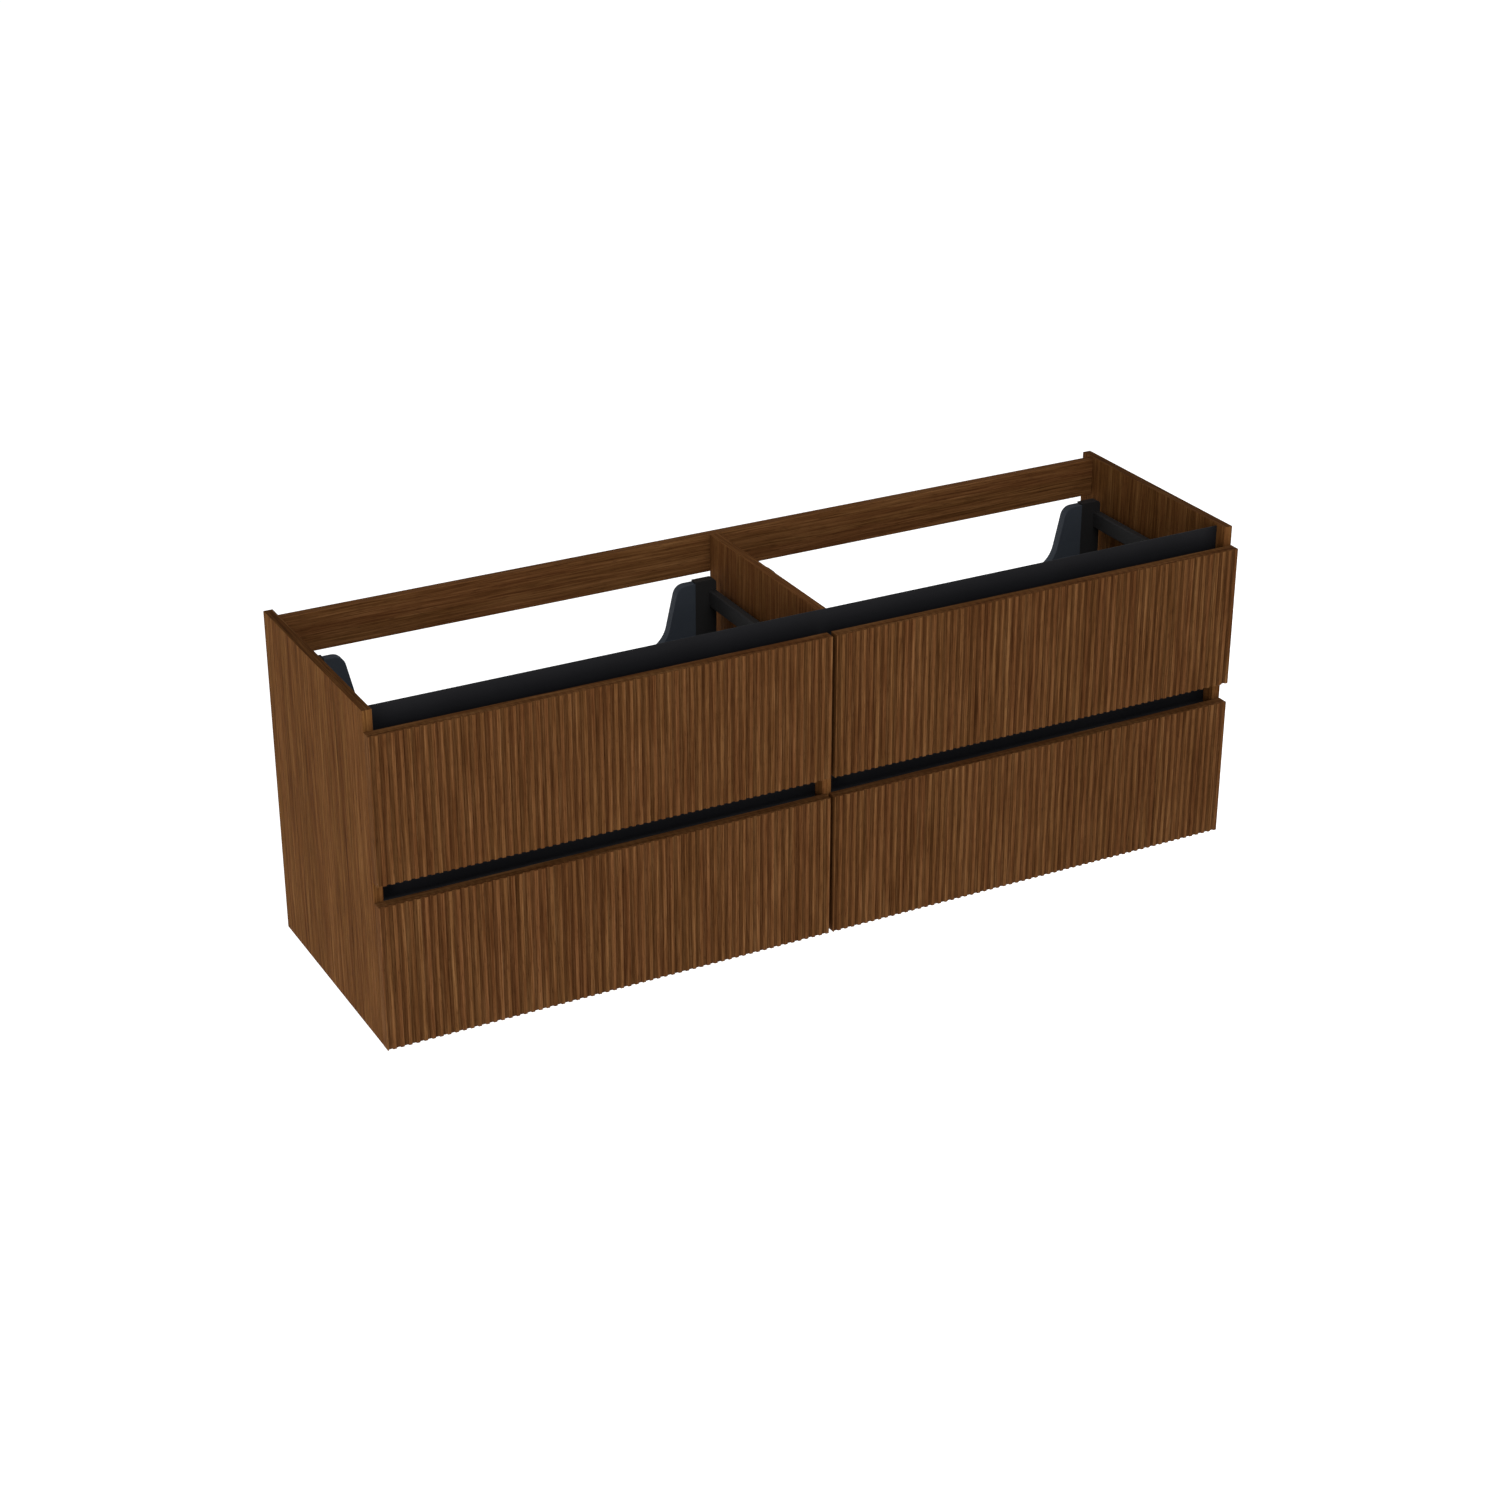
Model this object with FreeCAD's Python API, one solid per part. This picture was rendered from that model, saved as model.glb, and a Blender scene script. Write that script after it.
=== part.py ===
import FreeCAD, Part
import math
import os

# Wall-hung double vanity cabinet with four ribbed drawers on telescopic slides.
# X runs across the cabinet, Y from the room to the wall, Z up.
# The origin is on the wall plane, at the centre of the four wall-screw holes.

# ---------------------------------------------------------------- carcass
CARCASS_WIDTH = 1600.0
CARCASS_DEPTH = 433.0
CARCASS_HEIGHT = 580.0
BOARD = 16.0                     # side, centre, bottom and rail boards
RAIL_HEIGHT = 68.0
RAIL_DROP = 4.0                  # rear rail and centre panel below the side panel tops
RAIL_INSET = 17.0                # back of the rails to the wall

# ---------------------------------------------------------------- fronts
TOP_GRIP = 35.0                  # side panel top down to the upper front
MIDDLE_GRIP = 36.0               # gap between the upper and the lower front
CENTRE_GAP = 8.3                 # gap between the left and the right front
FRONT_BOARD = 17.0               # board behind the ribs
FRONT_TO_CARCASS = 1.0           # a closed front stops this far from the carcass
RIB_HEIGHT = 3.0
RIB_PITCH = 13.25                # nominal, fitted to a whole number of ribs
RIB_LAND = 5.4                   # flat crest of one rib
RIB_FLANK = 1.1                  # width of one sloping side of a rib
FIRST_RIB = 12.4                 # left edge of a front to its first whole rib
LAST_RIB = 2.6                   # right edge of a front to its last rib

# ---------------------------------------------------------------- grip profiles
PROFILE_WALL = 1.5
PROFILE_RADIUS = 10.0
PROFILE_TIP = 1.5                # flange tips behind the carcass front plane
TOP_PROFILE_SETBACK = 22.0
TOP_PROFILE_LAP = 24.0           # reach of the top profile below the upper front's top
MIDDLE_PROFILE_SETBACK = 25.0
MIDDLE_PROFILE_LAP = 19.0        # reach of a middle profile behind each front
PROFILE_NOTCH = 0.5              # room between the centre panel's notch and the profile

# ---------------------------------------------------------------- drawer boxes
DRAWER_BACK_ROOM = 32.3          # back of the drawer to the rear rails
DRAWER_CLEARANCE = 7.0           # middle profile up to the bottom of the upper drawer sides
DRAWER_BOARD = 16.0              # drawer base and drawer back
SIDE_THICKNESS = 16.0
SIDE_HEIGHT = 84.0
SIDE_SHEET = 1.2
LEDGE_WIDTH = 15.0               # inward ledge that carries the base
LEDGE_HEIGHT = 4.0
BRACKET_WIDTH = 40.0             # rear bracket, outer face to the drawer back
BRACKET_SHEET = 1.5
BRACKET_CORNER = 8.0
BRACKET_CLEARANCE = 6.5          # top of the rear bracket to the deeper grip profile above it
BACK_DROP = 3.0                  # drawer back below the rear brackets
GALLERY_WIDTH = 14.0
GALLERY_HEIGHT = 29.0
GALLERY_DROP = 20.5              # gallery rail top below the rear bracket top
GALLERY_CORNER = 2.0
FRONT_BRACKET_PLATE = 3.0
FRONT_BRACKET_RISE = 4.0         # front bracket above the gallery rail

# siphon cut-out in the upper drawer backs
WING_WIDTH = 32.8                # bracket to the cut, at the top of the wing
WING_LEAN = 13.2                 # degrees that the cut leans away from upright
WING_CORNER = 20.0
CUT_FLOOR = 62.0                 # base up to the floor of the cut
CUT_FILLET = 50.0

# ---------------------------------------------------------------- telescopic slides
SLIDE_GAP = 12.7                 # carcass board to drawer side
SLIDE_HEIGHT = 45.0
SLIDE_SHEET = 1.3
SLIDE_CLEARANCE = 1.0            # between one slide member and the next
SLIDE_SETBACK = 3.0              # carcass front plane to the slides
SLIDE_BACK_ROOM = 14.7           # end of the slides to the back of the drawer
SLIDE_RISE = 20.0                # bottom of the drawer side up to the slide
OUTER_FLANGE_ROOM = 1.5          # carcass member flange to the drawer side
MIDDLE_FLANGE_ROOM = 2.5         # middle member flange to the drawer side
INNER_FLANGE_ROOM = 1.4          # drawer member flange to the middle member web

# ---------------------------------------------------------------- wall hanging
HANGING_DROP = 140.0             # side panel top down to the wall-screw centre
HANGER_PLATE = 3.0
HANGER_WIDTH = 43.0
HANGER_FLANGE = 40.0
HANGER_HEIGHT = 64.0
HANGER_CORNER = 6.0
WALL_HOLE_RADIUS = 3.5
WALL_HOLE_INSET = 35.0           # side panel's inner face to the wall holes
WALL_HOLE_SPACING = 40.0
FLANGE_SCREW_INSET = 24.0        # wall plane to the screws into the side panel
SCREW_RADIUS = 2.0
SCREW_LENGTH = 12.0              # thread inside the side panel
SCREW_HEAD_RADIUS = 4.5
SCREW_HEAD_HEIGHT = 2.4
SCREW_CLEARANCE = 0.1

# ---------------------------------------------------------------- derived places
FLOOR = HANGING_DROP - CARCASS_HEIGHT
TOP = FLOOR + CARCASS_HEIGHT
FRONT_PLANE = -CARCASS_DEPTH
HALF_WIDTH = CARCASS_WIDTH / 2
INNER_X = HALF_WIDTH - BOARD
CENTRE_X = BOARD / 2
RAIL_TOP = TOP - RAIL_DROP
RAIL_BACK = -RAIL_INSET
RAIL_FRONT = RAIL_BACK - BOARD

FRONT_HEIGHT = (CARCASS_HEIGHT - TOP_GRIP - MIDDLE_GRIP) / 2
FRONT_WIDTH = HALF_WIDTH - CENTRE_GAP / 2
FRONT_BACK = FRONT_PLANE - FRONT_TO_CARCASS
LOWER_FRONT_Z = FLOOR
UPPER_FRONT_Z = FLOOR + FRONT_HEIGHT + MIDDLE_GRIP

TOP_PROFILE_BOTTOM = TOP - TOP_GRIP - TOP_PROFILE_LAP
MIDDLE_PROFILE_BOTTOM = LOWER_FRONT_Z + FRONT_HEIGHT - MIDDLE_PROFILE_LAP
MIDDLE_PROFILE_TOP = UPPER_FRONT_Z + MIDDLE_PROFILE_LAP

DRAWER_LIFT = MIDDLE_PROFILE_LAP + DRAWER_CLEARANCE
DEEPER_LAP = max(TOP_PROFILE_LAP, MIDDLE_PROFILE_LAP)

# heights inside one drawer, counted from the bottom of its sides
BASE_TOP = LEDGE_HEIGHT + DRAWER_BOARD
BRACKET_TOP = FRONT_HEIGHT - DEEPER_LAP - BRACKET_CLEARANCE - DRAWER_LIFT
BACK_TOP = BRACKET_TOP - BACK_DROP
GALLERY_TOP = BRACKET_TOP - GALLERY_DROP
GALLERY_BOTTOM = GALLERY_TOP - GALLERY_HEIGHT

DRAWER_BACK_Y = RAIL_FRONT - DRAWER_BACK_ROOM
BACK_FRONT_Y = DRAWER_BACK_Y - DRAWER_BOARD
SLIDE_FRONT_Y = FRONT_PLANE + SLIDE_SETBACK
SLIDE_BACK_Y = DRAWER_BACK_Y - SLIDE_BACK_ROOM
BRACKET_INNER = SLIDE_GAP + BRACKET_WIDTH
SIDE_INNER = SLIDE_GAP + SIDE_THICKNESS


# ---------------------------------------------------------------- helpers
def vector(x, y, z):
    return FreeCAD.Vector(x, y, z)


def block(x0, x1, y0, y1, z0, z1):
    return Part.makeBox(x1 - x0, y1 - y0, z1 - z0, vector(x0, y0, z0))


def polygon_prism(points, extent):
    """Straight-edged outline of 3D points, swept along the extent vector."""
    outline = Part.makePolygon(points + [points[0]])
    return Part.Face(outline).extrude(extent)


def cylinder(radius, length, base, direction):
    return Part.makeCylinder(radius, length, base, direction)


def mirrored(shape):
    """The same piece on the other side of the plane X = 0."""
    return shape.mirror(vector(0, 0, 0), vector(1, 0, 0))


def rounded(shape, radius, wanted):
    """Fillets the edges for which wanted(edge) is true."""
    edges = [edge for edge in shape.Edges if wanted(edge)]
    return shape.makeFillet(radius, edges)


def runs_along(edge, axis):
    """True for a straight edge parallel to the axis vector."""
    if len(edge.Vertexes) != 2:
        return False
    run = edge.Vertexes[1].Point - edge.Vertexes[0].Point
    return run.Length > 0 and abs(abs(run.dot(axis)) / run.Length - 1) < 1e-6


def export(shape, name):
    shape.exportStep(os.path.join("parts", name + ".step"))


# ---------------------------------------------------------------- carcass boards
def flange_screw_places():
    """Centres of the screws that hold the right hanging bracket, on the panel face."""
    for sign in (-1, 1):
        yield vector(INNER_X, -FLANGE_SCREW_INSET, sign * WALL_HOLE_SPACING / 2)


def right_side_panel():
    panel = block(INNER_X, HALF_WIDTH, FRONT_PLANE, 0, FLOOR, TOP)
    for place in flange_screw_places():
        pilot = cylinder(SCREW_RADIUS + SCREW_CLEARANCE, SCREW_LENGTH + SCREW_CLEARANCE,
                         place, vector(1, 0, 0))
        panel = panel.cut(pilot)
    return panel


def centre_panel():
    """Upright board between the bays, notched where the top grip profile passes."""
    panel = block(-CENTRE_X, CENTRE_X, FRONT_PLANE, RAIL_FRONT, FLOOR + BOARD, RAIL_TOP)
    notch_depth = TOP_PROFILE_SETBACK + PROFILE_WALL + PROFILE_NOTCH
    notch = block(-CENTRE_X, CENTRE_X, FRONT_PLANE, FRONT_PLANE + notch_depth,
                  TOP_PROFILE_BOTTOM - PROFILE_NOTCH, RAIL_TOP)
    return panel.cut(notch)


def bottom_panel():
    return block(-INNER_X, INNER_X, FRONT_PLANE, RAIL_BACK, FLOOR, FLOOR + BOARD)


def rear_rail(top):
    return block(-INNER_X, INNER_X, RAIL_FRONT, RAIL_BACK, top - RAIL_HEIGHT, top)


# ---------------------------------------------------------------- grip profiles
def bent_strip(x0, x1, setback, bottom, top, both_ends):
    """Sheet profile: an upright wall whose lower end, or both ends, turn forward.

    The bend is a quarter circle, and each flange ends at the profile tip.
    """
    face_y = FRONT_PLANE + setback
    back_y = face_y + PROFILE_WALL
    tip_y = FRONT_PLANE + PROFILE_TIP
    outside = block(x0, x1, tip_y, back_y, bottom, top)
    hollow_top = top - PROFILE_WALL if both_ends else top
    hollow = block(x0, x1, tip_y, face_y, bottom + PROFILE_WALL, hollow_top)
    bent_heights = [bottom, top] if both_ends else [bottom]

    def at_bend(edge, y):
        return runs_along(edge, vector(1, 0, 0)) and abs(edge.CenterOfMass.y - y) < 1e-6

    def outer_bend(edge):
        z = edge.CenterOfMass.z
        return at_bend(edge, back_y) and any(abs(z - height_z) < 1e-6 for height_z in bent_heights)

    def inner_bend(edge):
        z = edge.CenterOfMass.z
        near = [abs(abs(z - height_z) - PROFILE_WALL) < 1e-6 for height_z in bent_heights]
        return at_bend(edge, face_y) and any(near)

    outside = rounded(outside, PROFILE_RADIUS + PROFILE_WALL, outer_bend)
    hollow = rounded(hollow, PROFILE_RADIUS, inner_bend)
    return outside.cut(hollow)


def top_grip_profile():
    return bent_strip(-INNER_X, INNER_X, TOP_PROFILE_SETBACK, TOP_PROFILE_BOTTOM,
                      RAIL_TOP, both_ends=False)


def right_middle_grip_profile():
    return bent_strip(CENTRE_X, INNER_X, MIDDLE_PROFILE_SETBACK, MIDDLE_PROFILE_BOTTOM,
                      MIDDLE_PROFILE_TOP, both_ends=True)


# ---------------------------------------------------------------- wall hanging
def right_hanging_bracket():
    """Angle bracket: one leg lies on the wall plane, the other on the side panel."""
    half = HANGER_HEIGHT / 2
    wall_leg = block(INNER_X - HANGER_WIDTH, INNER_X, -HANGER_PLATE, 0, -half, half)
    wall_leg = rounded(wall_leg, HANGER_CORNER, lambda edge:
                       runs_along(edge, vector(0, 1, 0))
                       and edge.CenterOfMass.x < INNER_X - HANGER_CORNER)
    side_leg = block(INNER_X - HANGER_PLATE, INNER_X, -HANGER_FLANGE, 0, -half, half)
    side_leg = rounded(side_leg, HANGER_CORNER, lambda edge:
                       runs_along(edge, vector(1, 0, 0))
                       and edge.CenterOfMass.y < -HANGER_CORNER)
    bracket = wall_leg.fuse(side_leg).removeSplitter()
    for sign in (-1, 1):
        wall_hole = cylinder(WALL_HOLE_RADIUS, HANGER_PLATE,
                             vector(INNER_X - WALL_HOLE_INSET, -HANGER_PLATE,
                                    sign * WALL_HOLE_SPACING / 2),
                             vector(0, 1, 0))
        bracket = bracket.cut(wall_hole)
    for place in flange_screw_places():
        screw_hole = cylinder(SCREW_RADIUS + SCREW_CLEARANCE, HANGER_PLATE, place,
                              vector(-1, 0, 0))
        bracket = bracket.cut(screw_hole)
    return bracket


def right_hanging_screws():
    screws = []
    for place in flange_screw_places():
        under_head = place - vector(HANGER_PLATE, 0, 0)
        shank = cylinder(SCREW_RADIUS, HANGER_PLATE + SCREW_LENGTH, under_head, vector(1, 0, 0))
        head = cylinder(SCREW_HEAD_RADIUS, SCREW_HEAD_HEIGHT, under_head, vector(-1, 0, 0))
        head = rounded(head, SCREW_HEAD_HEIGHT / 2, lambda edge:
                       edge.CenterOfMass.x < under_head.x - SCREW_HEAD_HEIGHT / 2)
        screws.append(head.fuse(shank))
    return screws


# ---------------------------------------------------------------- drawer fronts
def ribbed_front(x0, bottom):
    """Board with upright ribs that start with a part rib at the left edge."""
    x1 = x0 + FRONT_WIDTH
    valley_y = FRONT_BACK - FRONT_BOARD
    crest_y = valley_y - RIB_HEIGHT
    rib_span = FRONT_WIDTH - FIRST_RIB - LAST_RIB
    rib_gaps = max(1, round(rib_span / RIB_PITCH))
    pitch = rib_span / rib_gaps
    outline = [(x0, FRONT_BACK), (x0, crest_y)]
    for number in range(-1, rib_gaps + 1):
        centre = x0 + FIRST_RIB + number * pitch
        if number >= 0:
            outline.append((centre - RIB_LAND / 2 - RIB_FLANK, valley_y))
            outline.append((centre - RIB_LAND / 2, crest_y))
        if number < rib_gaps:
            outline.append((centre + RIB_LAND / 2, crest_y))
            outline.append((centre + RIB_LAND / 2 + RIB_FLANK, valley_y))
    outline += [(x1, crest_y), (x1, FRONT_BACK)]
    points = [vector(x, y, bottom) for x, y in outline]
    return polygon_prism(points, vector(0, 0, FRONT_HEIGHT))


# ---------------------------------------------------------------- drawer box pieces
# Each is made for the right-hand bay. "inward" is the distance from the
# carcass board beside it, and "place" turns that distance into an X value.
def outer_board(inward):
    """From the right side panel, counted towards the centre."""
    return INNER_X - inward


def centre_board(inward):
    """From the centre panel, counted towards the right."""
    return CENTRE_X + inward


def spread(place, inward_0, inward_1, y0, y1, z0, z1):
    """A block between two inward distances."""
    x_values = sorted((place(inward_0), place(inward_1)))
    return block(x_values[0], x_values[1], y0, y1, z0, z1)


def slide_bottom(level):
    return level + SLIDE_RISE


def channel(place, web_0, web_1, flange_end, y0, y1, z0, z1):
    """Sheet channel: a web between two inward distances and flanges to flange_end."""
    outside = spread(place, web_0, flange_end, y0, y1, z0, z1)
    hollow = spread(place, web_1, flange_end, y0, y1, z0 + SLIDE_SHEET, z1 - SLIDE_SHEET)
    return outside.cut(hollow)


def carcass_slide(place, level):
    """Fixed slide member on the carcass board."""
    z0 = slide_bottom(level)
    return channel(place, 0, SLIDE_SHEET, SLIDE_GAP - OUTER_FLANGE_ROOM,
                   SLIDE_FRONT_Y, SLIDE_BACK_Y, z0, z0 + SLIDE_HEIGHT)


def middle_slide(place, level):
    """Member that runs inside the carcass member at half the drawer's travel."""
    step = SLIDE_SHEET + SLIDE_CLEARANCE
    z0 = slide_bottom(level) + step
    z1 = slide_bottom(level) + SLIDE_HEIGHT - step
    return channel(place, step, step + SLIDE_SHEET, SLIDE_GAP - MIDDLE_FLANGE_ROOM,
                   SLIDE_FRONT_Y, SLIDE_BACK_Y, z0, z1)


def drawer_side(place, level):
    """Rolled sheet side: hollow wall, ledge for the base, and the slide's inner member."""
    outer = SLIDE_GAP
    inner = SIDE_INNER
    top = SIDE_HEIGHT
    middle_step = 2 * (SLIDE_SHEET + SLIDE_CLEARANCE)
    rail_low = SLIDE_RISE + middle_step
    rail_high = SLIDE_RISE + SLIDE_HEIGHT - middle_step
    rail_end = SLIDE_CLEARANCE + 2 * SLIDE_SHEET + INNER_FLANGE_ROOM
    section = [
        (outer, top), (inner, top), (inner, LEDGE_HEIGHT),
        (inner + LEDGE_WIDTH, LEDGE_HEIGHT), (inner + LEDGE_WIDTH, LEDGE_HEIGHT - SIDE_SHEET),
        (inner - SIDE_SHEET, LEDGE_HEIGHT - SIDE_SHEET), (inner - SIDE_SHEET, top - SIDE_SHEET),
        (outer + SIDE_SHEET, top - SIDE_SHEET), (outer + SIDE_SHEET, 0), (outer, 0),
        (outer, rail_low), (rail_end, rail_low), (rail_end, rail_low + SLIDE_SHEET),
        (outer, rail_low + SLIDE_SHEET), (outer, rail_high - SLIDE_SHEET),
        (rail_end, rail_high - SLIDE_SHEET), (rail_end, rail_high), (outer, rail_high),
    ]
    y0 = FRONT_BACK + FRONT_BRACKET_PLATE
    points = [vector(place(inward), y0, level + height) for inward, height in section]
    return polygon_prism(points, vector(0, DRAWER_BACK_Y - y0, 0))


def gallery_rail(place, level):
    """Square tube above the drawer side, from the front bracket to the rear bracket."""
    y0 = FRONT_BACK + FRONT_BRACKET_PLATE
    rail = spread(place, SLIDE_GAP, SLIDE_GAP + GALLERY_WIDTH, y0, BACK_FRONT_Y,
                  level + GALLERY_BOTTOM, level + GALLERY_TOP)
    return rounded(rail, GALLERY_CORNER, lambda edge: runs_along(edge, vector(0, 1, 0)))


def front_bracket(place, level):
    """Plate that fixes the side and the gallery rail to the back of the front."""
    return spread(place, SLIDE_GAP, SIDE_INNER, FRONT_BACK, FRONT_BACK + FRONT_BRACKET_PLATE,
                  level + LEDGE_HEIGHT, level + GALLERY_TOP + FRONT_BRACKET_RISE)


def bracket_body(place, level, skin, y0, y1):
    """Solid of the rear bracket, taken in by skin on every side."""
    low = level + BASE_TOP + skin
    high = level + BRACKET_TOP - skin
    body = spread(place, SLIDE_GAP + skin, BRACKET_INNER - skin, y0, y1, low, high)
    outer_x = place(SLIDE_GAP + skin)
    body = rounded(body, BRACKET_CORNER - skin, lambda edge:
                   runs_along(edge, vector(0, 1, 0))
                   and abs(edge.CenterOfMass.x - outer_x) < 1e-6
                   and abs(edge.CenterOfMass.z - high) < 1e-6)
    side_room = spread(place, 0, SIDE_INNER + skin, y0, y1,
                       level, level + SIDE_HEIGHT + skin)
    return body.cut(side_room)


def rear_bracket(place, level):
    """Pressed cover that stands over the drawer side, open towards the wall."""
    shell = bracket_body(place, level, 0, BACK_FRONT_Y, DRAWER_BACK_Y)
    hollow = bracket_body(place, level, BRACKET_SHEET, BACK_FRONT_Y + BRACKET_SHEET,
                          DRAWER_BACK_Y)
    return shell.cut(hollow)


def drawer_base(level):
    return block(centre_board(SIDE_INNER), outer_board(SIDE_INNER), FRONT_BACK, DRAWER_BACK_Y,
                 level + LEDGE_HEIGHT, level + BASE_TOP)


def drawer_back(level, has_cut):
    """Back board between the rear brackets, with the siphon cut-out if asked for."""
    board = block(centre_board(BRACKET_INNER), outer_board(BRACKET_INNER),
                  BACK_FRONT_Y, DRAWER_BACK_Y, level + BASE_TOP, level + BACK_TOP)
    if not has_cut:
        return board
    floor_z = level + BASE_TOP + CUT_FLOOR
    top_z = level + BACK_TOP
    top_inward = BRACKET_INNER + WING_WIDTH
    floor_inward = top_inward + (top_z - floor_z) * math.tan(math.radians(WING_LEAN))
    corners = [(centre_board(top_inward), top_z), (outer_board(top_inward), top_z),
               (outer_board(floor_inward), floor_z), (centre_board(floor_inward), floor_z)]
    points = [vector(x, BACK_FRONT_Y, z) for x, z in corners]
    board = board.cut(polygon_prism(points, vector(0, DRAWER_BOARD, 0)))
    bay_centre = (centre_board(0) + outer_board(0)) / 2
    top_half = bay_centre - centre_board(top_inward)

    def wing_top(edge):
        middle = edge.CenterOfMass
        at_cut = abs(abs(middle.x - bay_centre) - top_half) < 1e-6
        return runs_along(edge, vector(0, 1, 0)) and abs(middle.z - top_z) < 1e-6 and at_cut

    def cut_corner(edge):
        return runs_along(edge, vector(0, 1, 0)) and abs(edge.CenterOfMass.z - floor_z) < 1e-6

    board = rounded(board, CUT_FILLET, cut_corner)
    return rounded(board, WING_CORNER, wing_top)


# ---------------------------------------------------------------- build and export
def export_carcass():
    panel = right_side_panel()
    export(panel, "side_panel_right")
    export(mirrored(panel), "side_panel_left")
    export(centre_panel(), "centre_panel")
    export(bottom_panel(), "bottom_panel")
    export(rear_rail(RAIL_TOP), "rear_top_rail")
    export(rear_rail(FLOOR + BOARD + RAIL_HEIGHT), "rear_lower_rail")
    export(top_grip_profile(), "top_grip_profile")
    profile = right_middle_grip_profile()
    export(profile, "middle_grip_profile_right")
    export(mirrored(profile), "middle_grip_profile_left")
    bracket = right_hanging_bracket()
    export(bracket, "hanging_bracket_right")
    export(mirrored(bracket), "hanging_bracket_left")
    screws = right_hanging_screws()
    both_sides = screws + [mirrored(screw) for screw in screws]
    export(Part.makeCompound(both_sides), "hanging_bracket_screws")


def export_drawer(row, front_z, has_cut):
    """One drawer of each bay: built in the right bay, mirrored into the left one."""
    level = front_z + DRAWER_LIFT
    carcass_pair = [carcass_slide(centre_board, level), carcass_slide(outer_board, level)]
    middle_pair = [middle_slide(centre_board, level), middle_slide(outer_board, level)]
    plates = [front_bracket(centre_board, level), front_bracket(outer_board, level)]
    shared = {
        "carcass_slides": Part.makeCompound(carcass_pair),
        "middle_slides": Part.makeCompound(middle_pair),
        "drawer_front_brackets": Part.makeCompound(plates),
        "drawer_base": drawer_base(level),
        "drawer_back": drawer_back(level, has_cut),
    }
    for piece, shape in shared.items():
        export(shape, f"{row}_right_{piece}")
        export(mirrored(shape), f"{row}_left_{piece}")
    handed = {
        "drawer_side": drawer_side,
        "drawer_gallery_rail": gallery_rail,
        "drawer_rear_bracket": rear_bracket,
    }
    for piece, make in handed.items():
        by_centre = make(centre_board, level)
        by_side_panel = make(outer_board, level)
        export(by_centre, f"{row}_right_{piece}_left")
        export(by_side_panel, f"{row}_right_{piece}_right")
        export(mirrored(by_centre), f"{row}_left_{piece}_right")
        export(mirrored(by_side_panel), f"{row}_left_{piece}_left")
    export(ribbed_front(CENTRE_GAP / 2, front_z), f"{row}_right_drawer_front")
    export(ribbed_front(-HALF_WIDTH, front_z), f"{row}_left_drawer_front")


def main():
    os.makedirs("parts", exist_ok=True)
    export_carcass()
    export_drawer("upper", UPPER_FRONT_Z, has_cut=True)
    export_drawer("lower", LOWER_FRONT_Z, has_cut=False)


main()
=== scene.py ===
"""Looks of the wall-hung double vanity cabinet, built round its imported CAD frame. Metres, Z up."""

import math

import bmesh
import bpy
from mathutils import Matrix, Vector


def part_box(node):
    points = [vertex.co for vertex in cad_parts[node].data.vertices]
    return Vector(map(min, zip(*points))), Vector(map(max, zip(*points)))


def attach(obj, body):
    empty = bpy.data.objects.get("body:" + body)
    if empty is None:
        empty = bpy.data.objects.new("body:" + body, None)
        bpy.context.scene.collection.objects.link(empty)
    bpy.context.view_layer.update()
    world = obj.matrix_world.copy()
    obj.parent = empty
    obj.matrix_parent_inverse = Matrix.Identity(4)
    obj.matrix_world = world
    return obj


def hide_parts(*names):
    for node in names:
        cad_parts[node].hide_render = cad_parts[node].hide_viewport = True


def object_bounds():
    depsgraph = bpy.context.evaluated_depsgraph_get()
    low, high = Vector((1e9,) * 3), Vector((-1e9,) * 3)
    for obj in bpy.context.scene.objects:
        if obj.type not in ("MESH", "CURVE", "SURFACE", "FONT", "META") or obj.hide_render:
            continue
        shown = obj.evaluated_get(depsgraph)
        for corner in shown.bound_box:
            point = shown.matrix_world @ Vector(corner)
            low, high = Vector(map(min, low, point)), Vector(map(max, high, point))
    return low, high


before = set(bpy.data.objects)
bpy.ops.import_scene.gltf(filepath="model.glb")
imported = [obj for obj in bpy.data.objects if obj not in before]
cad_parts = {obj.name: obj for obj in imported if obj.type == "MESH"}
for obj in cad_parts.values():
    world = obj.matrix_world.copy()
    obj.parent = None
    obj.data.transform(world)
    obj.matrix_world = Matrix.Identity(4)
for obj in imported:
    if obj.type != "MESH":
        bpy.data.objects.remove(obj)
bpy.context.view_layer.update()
MM = 0.001
X, Y, Z = 0, 1, 2
WHITE = (1.0, 1.0, 1.0, 1.0)
BLACK = (0.0, 0.0, 0.0)

# ---------------------------------------------------------------- camera
CAMERA_PLACE = (-2.1274, -4.1290, 1.9492)
CAMERA_PITCH = math.radians(64.252)
CAMERA_TURN = math.radians(-28.218)
LENS = 69.11                # in millimetres, as is the sensor
SENSOR_WIDTH = 36.0
NEAREST, FURTHEST = 0.05, 60.0


def make_camera():
    data = bpy.data.cameras.new("camera")
    data.lens = LENS
    data.sensor_width = SENSOR_WIDTH
    data.clip_start = NEAREST
    data.clip_end = FURTHEST
    camera = bpy.data.objects.new("camera", data)
    camera.location = CAMERA_PLACE
    camera.rotation_euler = (CAMERA_PITCH, 0.0, CAMERA_TURN)
    bpy.context.scene.collection.objects.link(camera)
    bpy.context.scene.camera = camera


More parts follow.
